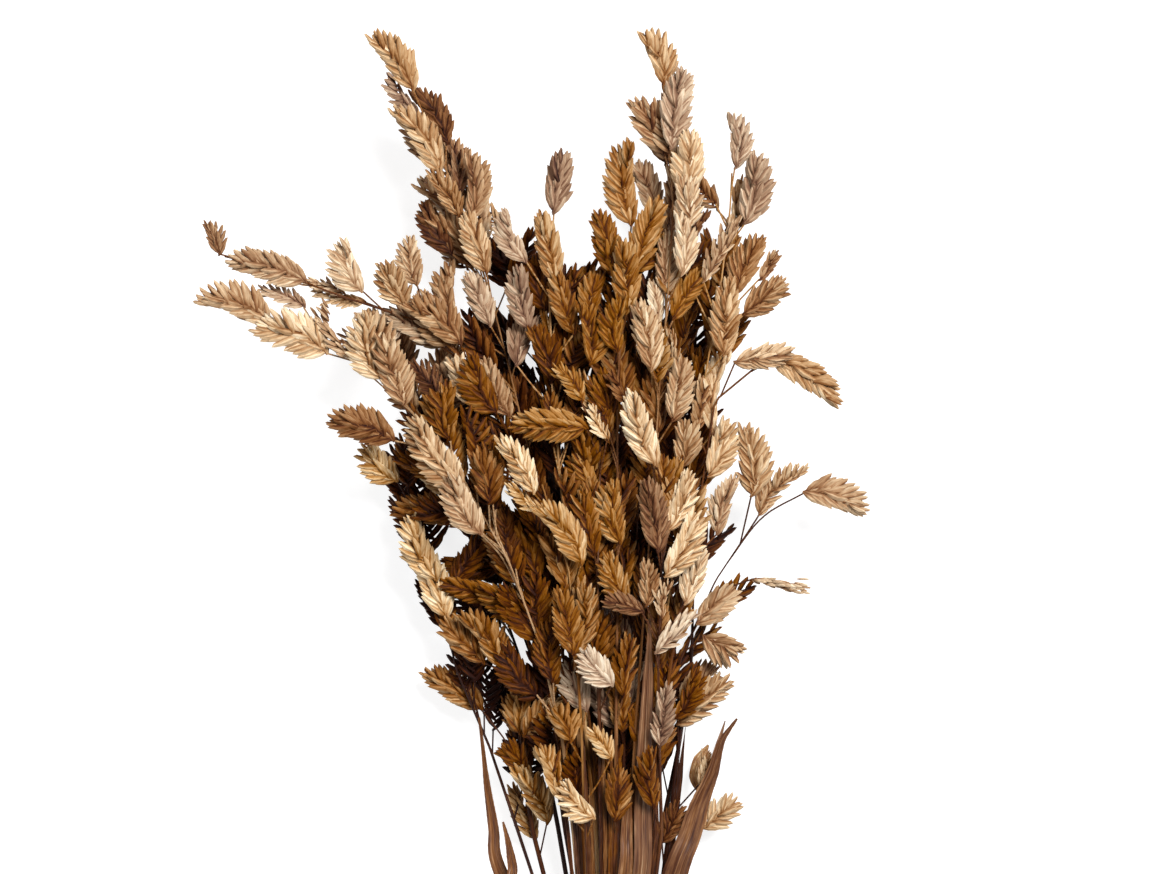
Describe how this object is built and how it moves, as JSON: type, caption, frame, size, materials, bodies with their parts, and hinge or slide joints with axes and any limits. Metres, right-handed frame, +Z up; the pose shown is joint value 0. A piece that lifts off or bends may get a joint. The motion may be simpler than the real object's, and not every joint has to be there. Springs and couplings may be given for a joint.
{
  "type": "bundle of dried sea oats",
  "caption": "Tied bunch of dried sea oat stems with flat drooping seed heads and a few narrow leaves, lying on its side, for floral and home decoration.",
  "frame": {"origin": "centre of the flat under the twine tie, where the bunch lies on the table", "axes": "+Y along the stems towards the seed heads, +Z up from the table, +X to the right as the heads are seen from above with their tips away from the viewer"},
  "size_m": [0.2685, 0.6147, 0.0771],
  "materials": {
    "stems": "dry, matt straw brown",
    "leaves": "dry, matt grey brown",
    "twine": "rough jute twine"
  },
  "bodies": {
    "root": {"leaf_centre": "leaves", "leaf_centre_short": "leaves", "leaf_left": "leaves", "leaf_left_short": "leaves", "leaf_right": "leaves", "stem_centre_front": "stems", "stem_far_left": "stems", "stem_front_left": "stems", "stem_front_right": "stems", "stem_inner_centre": "stems", "stem_inner_right": "stems", "stem_left_arch": "stems", "stem_left_bright": "stems", "stem_left_long": "stems", "stem_left_low": "stems", "stem_left_middle": "stems", "stem_low_right": "stems", "stem_lower_left": "stems", "stem_right": "stems", "stem_right_branch": "stems", "stem_top_centre": "stems", "stem_top_right": "stems", "stem_under_centre": "stems", "stem_under_far_right": "stems", "stem_under_left": "stems", "stem_under_middle": "stems", "stem_under_right": "stems", "stem_upper_left": "stems", "stem_upper_right": "stems", "tie": "twine"}
  },
  "joints": []
}
